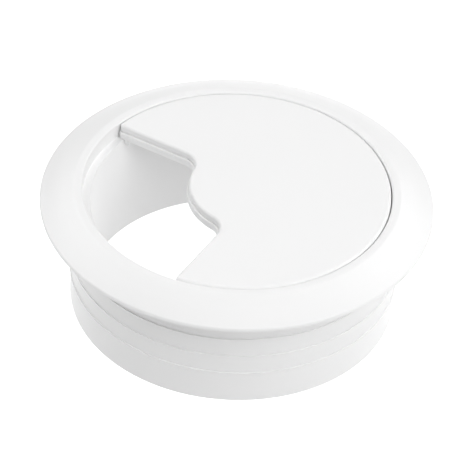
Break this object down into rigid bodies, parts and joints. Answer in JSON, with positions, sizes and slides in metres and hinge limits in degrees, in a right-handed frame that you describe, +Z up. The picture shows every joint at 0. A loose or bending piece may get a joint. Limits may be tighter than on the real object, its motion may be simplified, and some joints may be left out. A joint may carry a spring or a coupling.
{
  "type": "desk grommet",
  "caption": "Round flanged desk grommet with a ribbed sleeve and a lift-out cap of two notched discs that turn on a shared pivot to open or close the cable outlet.",
  "frame": {"origin": "on the sleeve's axis, at the surface of the desk that the flange rests on", "axes": "+Z up along the sleeve's axis, out of the desk; -X through the middle of the cable outlet as the cap lies at rest"},
  "size_m": [0.0706, 0.0706, 0.0246],
  "materials": {
    "housing_plastic": "white moulded plastic, satin",
    "cover_plastic": "white moulded plastic, satin with a fine even grain",
    "shutter_plastic": "white moulded plastic, satin",
    "pivot_plastic": "natural white moulded plastic, satin"
  },
  "bodies": {
    "housing": {"housing": "housing_plastic"},
    "pivot": {"pivot": "pivot_plastic"},
    "cover": {"cover": "cover_plastic"},
    "shutter": {"shutter": "shutter_plastic"}
  },
  "joints": [
    {"name": "cap_lift", "type": "slide", "parent": "housing", "child": "pivot", "axis": [0, 0, 1], "range_m": [0, 0.03]},
    {"name": "cover_turn", "type": "hinge", "parent": "pivot", "child": "cover", "pos_m": [0, 0, 0.0033], "axis": [0, 0, 1], "continuous": true},
    {"name": "shutter_turn", "type": "hinge", "parent": "pivot", "child": "shutter", "pos_m": [0, 0, 0.0018], "axis": [0, 0, 1], "continuous": true}
  ]
}
